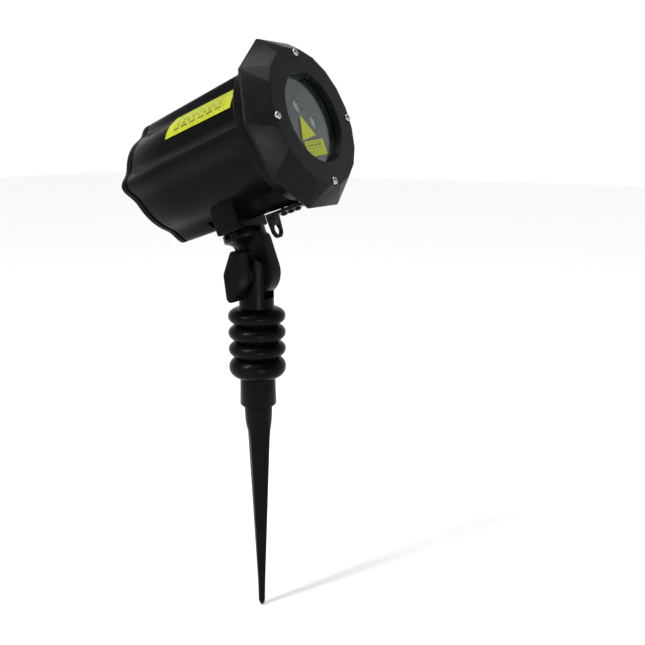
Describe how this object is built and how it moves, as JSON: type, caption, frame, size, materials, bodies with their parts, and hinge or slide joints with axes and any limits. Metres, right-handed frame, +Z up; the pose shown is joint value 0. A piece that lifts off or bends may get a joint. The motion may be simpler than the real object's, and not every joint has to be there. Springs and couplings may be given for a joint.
{
  "type": "light projector stake",
  "caption": "Tilting garden light projector with a lobed cast barrel, a faceted front ring and a round window, on a hinged arm and a ribbed ground spike.",
  "frame": {"origin": "on the stake's axis at the ground line, the lower end of the neck's collar", "axes": "+Z up along the stake; the head looks along -Y and up; X across"},
  "size_m": [0.1236, 0.1695, 0.4331],
  "materials": {
    "cast_black": "die cast alloy with a satin black powder coat",
    "bezel_charcoal": "die cast alloy with a satin charcoal powder coat",
    "stake_plastic": "moulded black plastic, softly glossy",
    "stainless": "bright stainless steel",
    "black_steel": "black coated sheet steel",
    "seal_rubber": "moulded rubber",
    "window_glass": "clear flat glass, slightly grey green",
    "lens_glass": "polished lens",
    "grating_acrylic": "clear acrylic with an etched grating",
    "label_yellow": "printed vinyl film, plain yellow",
    "brass": "machined brass",
    "plain_alloy": "milled alloy",
    "board_green": "solder resist on glass fibre board",
    "component_black": "moulded black plastic"
  },
  "bodies": {
    "stake": {"stake_neck": "stake_plastic", "ground_spike": "stake_plastic", "tilt_bolt": "stainless"},
    "clamp": {"clamp_washer": "black_steel"},
    "knob": {"tilt_knob": "stake_plastic", "knob_nut": "brass"},
    "arm": {"pivot_arm": "stake_plastic", "pan_bolt": "stainless", "pan_washer": "stainless"},
    "grating_a": {"grating_wheel_a": "grating_acrylic"},
    "grating_b": {"grating_wheel_b": "grating_acrylic"},
    "pinion": {"motor_pinion": "plain_alloy"},
    "head": {"barrel_housing": "cast_black", "front_bezel": "bezel_charcoal", "rear_cover": "cast_black", "rear_gasket": "seal_rubber", "window_glass": "window_glass", "window_gasket": "seal_rubber", "aperture_plate": "component_black", "triangle_label": "label_yellow", "panel_label": "label_yellow", "side_label": "label_yellow", "lock_bracket": "black_steel", "module_carrier": "plain_alloy", "laser_module_a": "brass", "laser_module_b": "brass", "collimating_lens_a": "lens_glass", "collimating_lens_b": "lens_glass", "grating_motor": "stainless", "board_tray": "plain_alloy", "driver_board": "board_green", "control_chip": "component_black", "rf_receiver": "board_green", "power_terminal": "component_black", "smoothing_capacitor": "component_black", "dc_inlet_body": "component_black", "dc_inlet_nut": "stainless", "dc_inlet_pin": "brass", "bezel_screw_1": "stainless", "rear_screw_1": "stainless", "bezel_screw_2": "stainless", "rear_screw_2": "stainless", "bezel_screw_3": "stainless", "rear_screw_3": "stainless", "bezel_screw_4": "stainless", "rear_screw_4": "stainless", "bracket_screw_1": "black_steel", "bracket_screw_2": "black_steel", "bracket_screw_3": "black_steel"}
  },
  "joints": [
    {"name": "head_tilt", "type": "hinge", "parent": "stake", "child": "arm", "pos_m": [0, 0, 0.102], "axis": [1, 0, 0], "range_deg": [-60, 80]},
    {"name": "head_pan", "type": "hinge", "parent": "arm", "child": "head", "pos_m": [0, 0.01088, 0.13156], "axis": [0, 0.3453, 0.9385], "range_deg": [-180, 180]},
    {"name": "clamp_slide", "type": "slide", "parent": "stake", "child": "clamp", "axis": [-1, 0, 0], "range_m": [0, 0.00151]},
    {"name": "knob_turn", "type": "hinge", "parent": "clamp", "child": "knob", "pos_m": [-0.02, 0, 0.102], "axis": [-1, 0, 0], "range_deg": [0, 540]},
    {"name": "grating_a_spin", "type": "hinge", "parent": "head", "child": "grating_a", "pos_m": [-0.0067, -0.03523, 0.21736], "axis": [0, -0.9385, 0.3453], "continuous": true},
    {"name": "grating_b_spin", "type": "hinge", "parent": "head", "child": "grating_b", "pos_m": [0.0089, -0.03907, 0.20694], "axis": [0, -0.9385, 0.3453], "continuous": true},
    {"name": "pinion_spin", "type": "hinge", "parent": "head", "child": "pinion", "pos_m": [0.0053, -0.03474, 0.21755], "axis": [0, -0.9385, 0.3453], "continuous": true}
  ],
  "couplings": [
    {"joint": "clamp_slide", "follows": "knob_turn", "m_per_rad": 0.00015915},
    {"joint": "grating_b_spin", "follows": "grating_a_spin", "ratio": 1},
    {"joint": "pinion_spin", "follows": "grating_a_spin", "ratio": -2.4}
  ]
}
